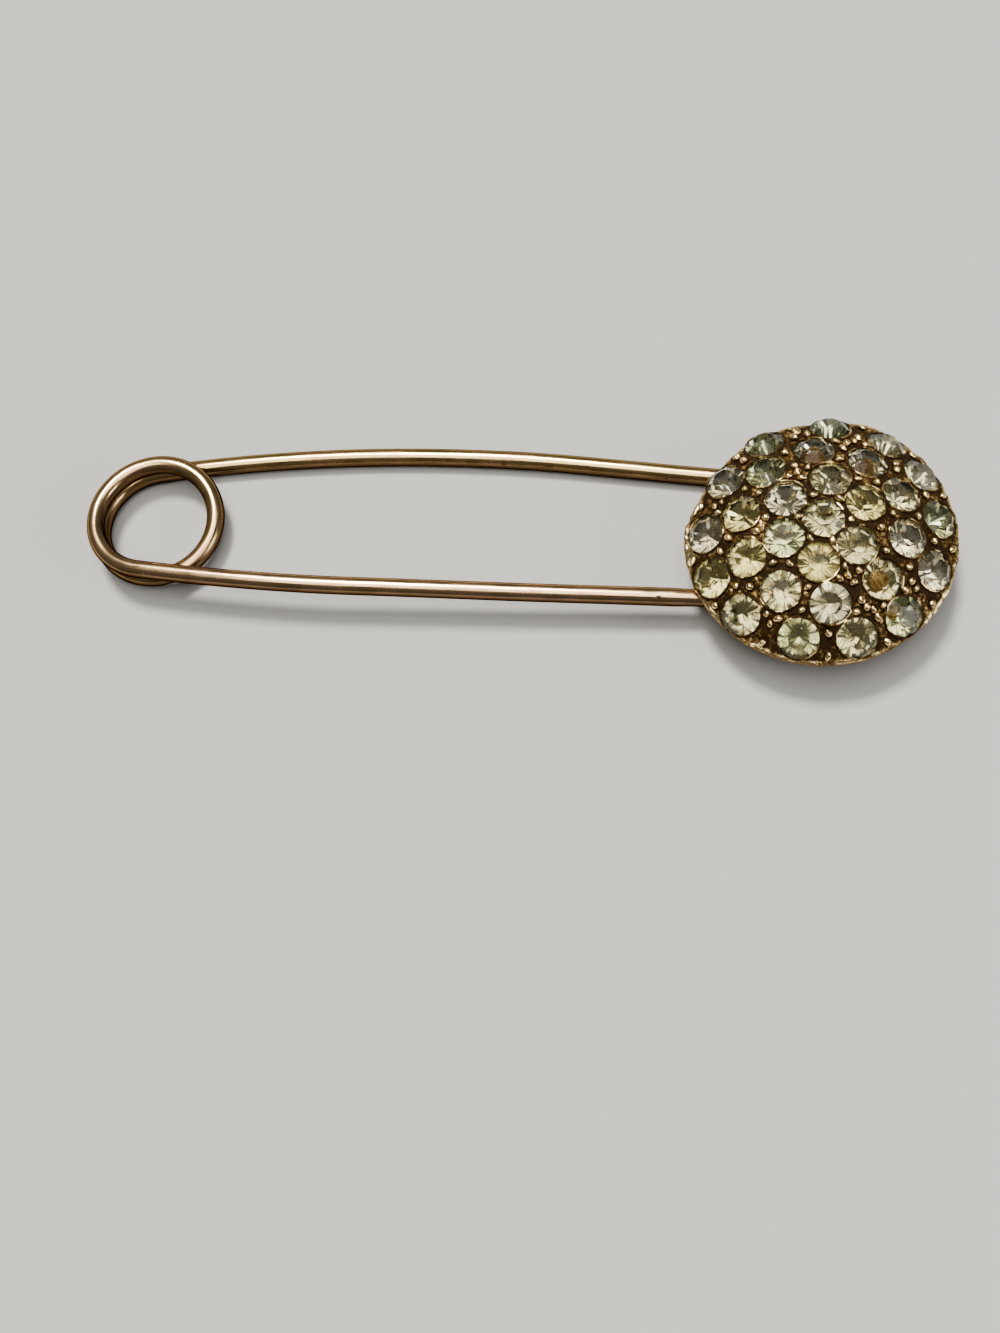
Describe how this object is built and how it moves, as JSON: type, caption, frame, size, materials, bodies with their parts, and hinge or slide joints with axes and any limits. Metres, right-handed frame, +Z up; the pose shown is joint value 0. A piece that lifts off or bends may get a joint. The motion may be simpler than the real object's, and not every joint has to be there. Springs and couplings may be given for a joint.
{
  "type": "safety pin brooch",
  "caption": "Large safety pin brooch: a bent gold-toned wire with a spring coil carries a domed antique gold head set all over with pale round cut stones and small grains.",
  "frame": {"origin": "middle of the brooch's box, on the surface that it lies on", "axes": "+X from the coil towards the head, +Y from the pin stem towards the back leg, +Z up out of the dome"},
  "size_m": [0.076, 0.0226, 0.0087],
  "materials": {
    "antique_metal": "antique gold plate, dark brown in the hollows and rubbed bright on the grains and edges",
    "wire": "polished pale gold plate",
    "stone": "clear pale champagne glass, faceted, with a silver foil back"
  },
  "bodies": {
    "clasp": {"setting": "antique_metal", "back_leg": "wire", "coil": "wire", "stone_centre": "stone", "stone_inner_1": "stone", "stone_inner_2": "stone", "stone_inner_3": "stone", "stone_inner_4": "stone", "stone_inner_5": "stone", "stone_inner_6": "stone", "stone_middle_1": "stone", "stone_middle_2": "stone", "stone_middle_3": "stone", "stone_middle_4": "stone", "stone_middle_5": "stone", "stone_middle_6": "stone", "stone_middle_7": "stone", "stone_middle_8": "stone", "stone_middle_9": "stone", "stone_middle_10": "stone", "stone_outer_1": "stone", "stone_outer_2": "stone", "stone_outer_3": "stone", "stone_outer_4": "stone", "stone_outer_5": "stone", "stone_outer_6": "stone", "stone_outer_7": "stone", "stone_outer_8": "stone", "stone_outer_9": "stone", "stone_outer_10": "stone", "stone_outer_11": "stone", "stone_outer_12": "stone", "stone_outer_13": "stone"},
    "stem": {"pin_stem": "wire"}
  },
  "joints": [
    {"name": "stem_swing", "type": "hinge", "parent": "clasp", "child": "stem", "pos_m": [-0.0318, 0, 0.0035], "axis": [0, 0.0523, -0.9986], "range_deg": [0, 25], "stiffness_Nm_per_rad": 0.4, "deforming": ["coil"]}
  ]
}
